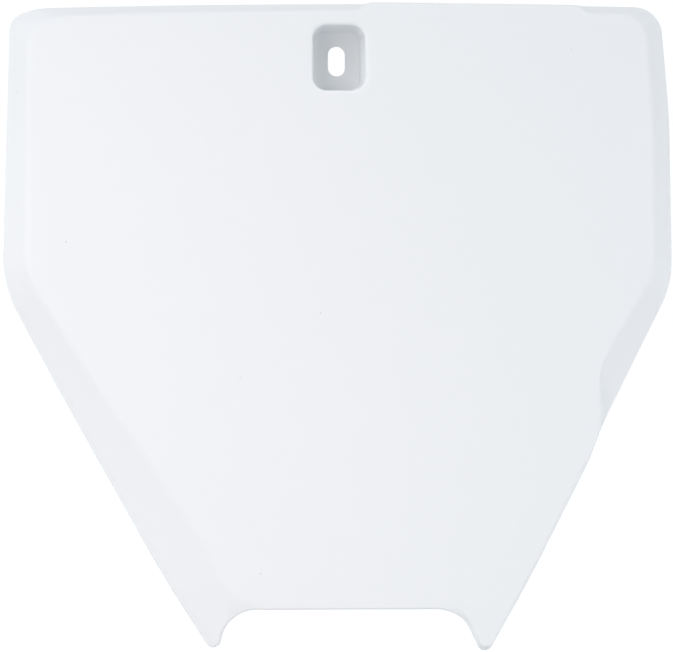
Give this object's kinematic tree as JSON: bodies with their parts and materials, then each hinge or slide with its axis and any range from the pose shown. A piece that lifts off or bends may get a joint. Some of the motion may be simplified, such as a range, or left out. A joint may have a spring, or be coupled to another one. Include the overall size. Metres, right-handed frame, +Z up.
{
  "type": "front number board",
  "caption": "Crowned off-road racing number board with a bevelled rim, a recessed bolt pocket with an upright slot, a flush tab, and an arch between prongs.",
  "frame": {"origin": "centre of the bolt slot, on the seat at the back of the pocket", "axes": "+X to the right seen from the front, +Y to the back through the board, +Z up"},
  "size_m": [0.2498, 0.0224, 0.2413],
  "materials": {
    "white_polypropylene": "satin, as moulded"
  },
  "bodies": {
    "root": {"number_board": "white_polypropylene"}
  },
  "joints": []
}
